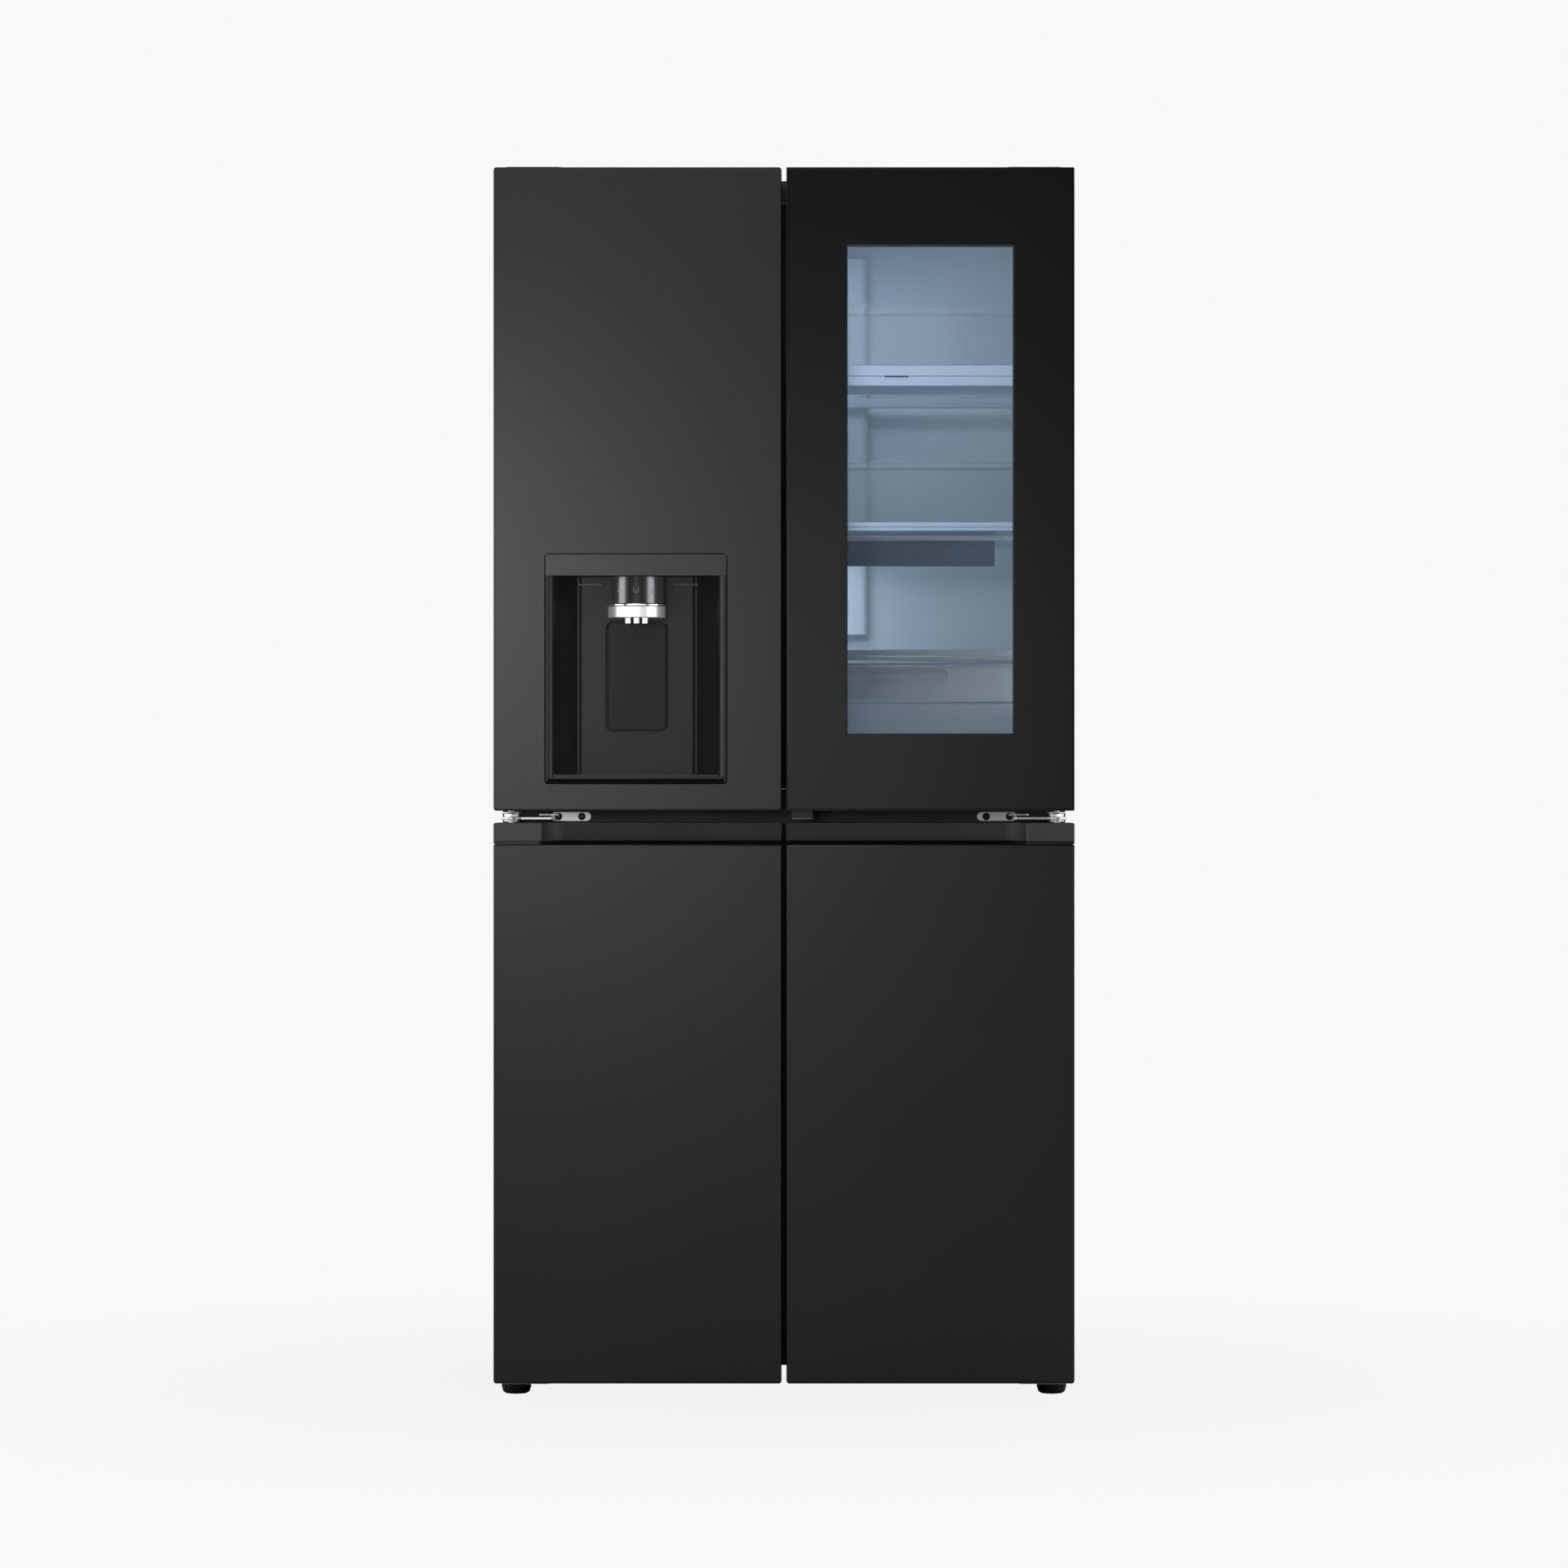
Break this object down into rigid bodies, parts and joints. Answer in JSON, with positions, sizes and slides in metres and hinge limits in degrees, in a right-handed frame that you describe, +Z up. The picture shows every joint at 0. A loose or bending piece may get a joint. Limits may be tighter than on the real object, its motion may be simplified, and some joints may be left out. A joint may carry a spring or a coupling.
{
  "type": "four-door refrigerator",
  "caption": "Free-standing fridge-freezer with paired fridge doors over paired freezer doors, an ice and water dispenser, and a glass door-in-door.",
  "frame": {"origin": "centre of the footprint, on the floor", "axes": "+X to the right as seen from the front, +Y to the back, +Z up; the doors face -Y"},
  "size_m": [0.835, 0.734, 1.787],
  "materials": {
    "graphite_steel": "matte black coated steel",
    "cabinet_paint": "satin grey paint with a light texture",
    "zinc_steel": "zinc plated",
    "dark_plastic": "fine moulded grain",
    "liner_white": "satin white liner",
    "clear_plastic": "clear",
    "black_glass": "black printed, polished",
    "clear_glass": "polished",
    "seal_rubber": "matte",
    "chrome": "polished",
    "gloss_grey": "metallic gloss",
    "black_enamel": "satin enamel",
    "foot_plastic": "moulded"
  },
  "bodies": {
    "cabinet": {"cabinet_shell": "cabinet_paint", "insulated_liner": "liner_white", "rear_panel": "zinc_steel", "machine_cover": "dark_plastic", "base_pan": "zinc_steel", "compressor": "black_enamel", "fan_bracket": "zinc_steel", "air_duct_panel": "liner_white", "upper_shelf": "clear_glass", "middle_shelf": "clear_glass", "crisper_cover": "clear_glass", "crisper_left": "clear_plastic", "crisper_right": "clear_plastic", "freezer_drawer_left_lower": "clear_plastic", "freezer_drawer_left_upper": "clear_plastic", "freezer_drawer_right_lower": "clear_plastic", "freezer_drawer_right_upper": "clear_plastic", "top_hinge_left": "zinc_steel", "top_hinge_right": "zinc_steel", "middle_hinge_left": "zinc_steel", "middle_hinge_right": "zinc_steel", "bottom_hinge_left": "zinc_steel", "bottom_hinge_right": "zinc_steel", "top_hinge_cover_left": "dark_plastic", "top_hinge_cover_right": "dark_plastic"},
    "condenser_fan": {"condenser_fan": "dark_plastic"},
    "front_foot_left": {"front_foot_left": "foot_plastic"},
    "front_foot_right": {"front_foot_right": "foot_plastic"},
    "rear_roller_left": {"rear_roller_left": "foot_plastic"},
    "rear_roller_right": {"rear_roller_right": "foot_plastic"},
    "left_door": {"left_door_skin": "graphite_steel", "left_door_core": "liner_white", "left_door_gasket": "seal_rubber", "ice_box": "liner_white", "left_door_basket": "clear_plastic", "dispenser_housing": "dark_plastic", "dispenser_bar": "dark_plastic", "nozzle_body": "gloss_grey", "nozzle_ring": "chrome", "drip_tray": "dark_plastic"},
    "dispenser_paddle": {"dispenser_paddle": "dark_plastic"},
    "centre_flap": {"centre_flap": "dark_plastic"},
    "right_door": {"right_door_inner_frame": "liner_white", "right_door_gasket": "seal_rubber", "right_door_basket_upper": "clear_plastic", "right_door_basket_middle": "clear_plastic", "right_door_basket_lower": "clear_plastic"},
    "outer_door": {"outer_door_frame": "dark_plastic", "outer_door_glass": "black_glass", "window_unit": "clear_glass", "outer_door_gasket": "seal_rubber"},
    "release_button": {"release_button": "dark_plastic"},
    "freezer_door_left": {"freezer_door_skin_left": "graphite_steel", "freezer_door_core_left": "liner_white", "freezer_door_gasket_left": "seal_rubber", "freezer_grip_cap_left": "dark_plastic"},
    "freezer_door_right": {"freezer_door_skin_right": "graphite_steel", "freezer_door_core_right": "liner_white", "freezer_door_gasket_right": "seal_rubber", "freezer_grip_cap_right": "dark_plastic"}
  },
  "joints": [
    {"name": "left_door_hinge", "type": "hinge", "parent": "cabinet", "child": "left_door", "pos_m": [-0.394, -0.3145, 0.849], "axis": [0, 0, -1], "range_deg": [0, 115]},
    {"name": "centre_flap_pivot", "type": "hinge", "parent": "left_door", "child": "centre_flap", "pos_m": [-0.046, -0.245, 0.88025], "axis": [0, 0, 1], "range_deg": [0, 87]},
    {"name": "dispenser_paddle_pivot", "type": "hinge", "parent": "left_door", "child": "dispenser_paddle", "pos_m": [-0.2128, -0.299, 1.1167], "axis": [1, 0, 0], "range_deg": [0, 4], "stiffness_Nm_per_rad": 0.5},
    {"name": "right_door_hinge", "type": "hinge", "parent": "cabinet", "child": "right_door", "pos_m": [0.394, -0.3145, 0.849], "axis": [0, 0, 1], "range_deg": [0, 115]},
    {"name": "outer_door_hinge", "type": "hinge", "parent": "right_door", "child": "outer_door", "pos_m": [0.4035, -0.349, 0.849], "axis": [0, 0, 1], "range_deg": [0, 105]},
    {"name": "release_button_slide", "type": "slide", "parent": "outer_door", "child": "release_button", "axis": [0, 0, 1], "range_m": [0, 0.004], "stiffness_N_per_m": 150, "springref_m": -0.003},
    {"name": "freezer_door_left_hinge", "type": "hinge", "parent": "cabinet", "child": "freezer_door_left", "pos_m": [-0.394, -0.3145, 0.0257], "axis": [0, 0, -1], "range_deg": [0, 115]},
    {"name": "freezer_door_right_hinge", "type": "hinge", "parent": "cabinet", "child": "freezer_door_right", "pos_m": [0.394, -0.3145, 0.0257], "axis": [0, 0, 1], "range_deg": [0, 115]},
    {"name": "condenser_fan_spin", "type": "hinge", "parent": "cabinet", "child": "condenser_fan", "pos_m": [0.004, 0.257, 0.1338], "axis": [1, 0, 0], "continuous": true},
    {"name": "front_foot_left_turn", "type": "hinge", "parent": "cabinet", "child": "front_foot_left", "pos_m": [-0.39, -0.249, 0], "axis": [0, 0, 1], "continuous": true},
    {"name": "front_foot_right_turn", "type": "hinge", "parent": "cabinet", "child": "front_foot_right", "pos_m": [0.39, -0.249, 0], "axis": [0, 0, 1], "continuous": true},
    {"name": "rear_roller_left_spin", "type": "hinge", "parent": "cabinet", "child": "rear_roller_left", "pos_m": [-0.36, 0.302, 0.01785], "axis": [1, 0, 0], "continuous": true},
    {"name": "rear_roller_right_spin", "type": "hinge", "parent": "cabinet", "child": "rear_roller_right", "pos_m": [0.36, 0.302, 0.01785], "axis": [1, 0, 0], "continuous": true}
  ],
  "couplings": [
    {"joint": "centre_flap_pivot", "follows": "left_door_hinge", "ratio": 0.75}
  ]
}
